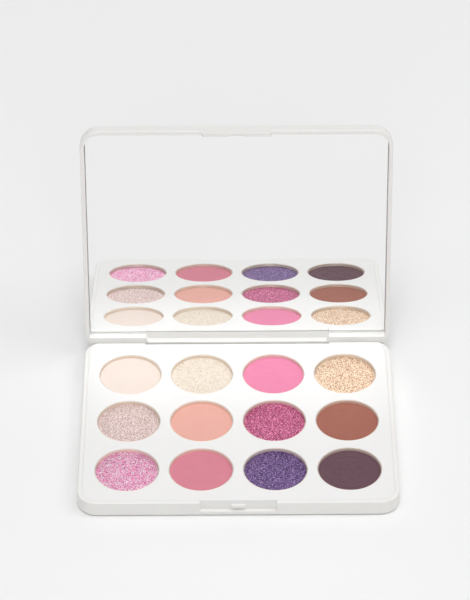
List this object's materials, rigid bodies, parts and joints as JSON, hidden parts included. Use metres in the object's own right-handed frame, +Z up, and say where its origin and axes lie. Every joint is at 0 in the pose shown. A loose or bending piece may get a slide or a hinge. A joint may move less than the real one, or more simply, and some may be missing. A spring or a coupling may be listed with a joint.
{
  "type": "eyeshadow palette",
  "caption": "Flat white compact with round eyeshadow pans in a moulded tray and a hinged lid with a large inside mirror and a front opening tab.",
  "frame": {"origin": "centre of the base's flat underside, on the surface the palette lies on", "axes": "+X to the right of the person using the open palette, +Y from the front notch towards the hinge, +Z up; the lid is stored open on its stop"},
  "size_m": [0.1288, 0.125, 0.1043],
  "materials": {
    "white_shell": "white moulded plastic, satin gloss",
    "white_tray": "white moulded plastic, satin gloss",
    "pan_metal": "drawn tinplate",
    "pin_steel": "drawn wire",
    "mirror_glass": "silvered glass",
    "tape": "double-sided adhesive sheet",
    "glue": "set glue",
    "powder_ivory": "matte pressed powder",
    "powder_champagne": "fine shimmer pressed powder",
    "powder_hot_pink": "matte pressed powder",
    "powder_gold_copper": "glitter pressed powder",
    "powder_mauve_pink": "shimmer pressed powder",
    "powder_peach": "matte pressed powder",
    "powder_magenta": "metallic glitter pressed powder",
    "powder_brown": "matte pressed powder",
    "powder_orchid": "glitter pressed powder",
    "powder_rose": "matte pressed powder",
    "powder_purple": "glitter pressed powder",
    "powder_plum": "matte pressed powder"
  },
  "bodies": {
    "base": {"base_shell": "white_shell", "pan_tray": "white_tray", "pan_glue": "glue", "pan_ivory": "pan_metal", "pan_champagne": "pan_metal", "pan_hot_pink": "pan_metal", "pan_gold_copper": "pan_metal", "pan_mauve_pink": "pan_metal", "pan_peach": "pan_metal", "pan_magenta": "pan_metal", "pan_brown": "pan_metal", "pan_orchid": "pan_metal", "pan_rose": "pan_metal", "pan_purple": "pan_metal", "pan_plum": "pan_metal", "powder_ivory": "powder_ivory", "powder_champagne": "powder_champagne", "powder_hot_pink": "powder_hot_pink", "powder_gold_copper": "powder_gold_copper", "powder_mauve_pink": "powder_mauve_pink", "powder_peach": "powder_peach", "powder_magenta": "powder_magenta", "powder_brown": "powder_brown", "powder_orchid": "powder_orchid", "powder_rose": "powder_rose", "powder_purple": "powder_purple", "powder_plum": "powder_plum", "hinge_pin_left": "pin_steel", "hinge_pin_right": "pin_steel"},
    "lid": {"lid_shell": "white_shell", "mirror": "mirror_glass", "mirror_tape": "tape"}
  },
  "joints": [
    {"name": "lid_hinge", "type": "hinge", "parent": "base", "child": "lid", "pos_m": [0, 0.0493, 0.0053], "axis": [1, 0, 0], "range_deg": [0, 99.7]}
  ]
}
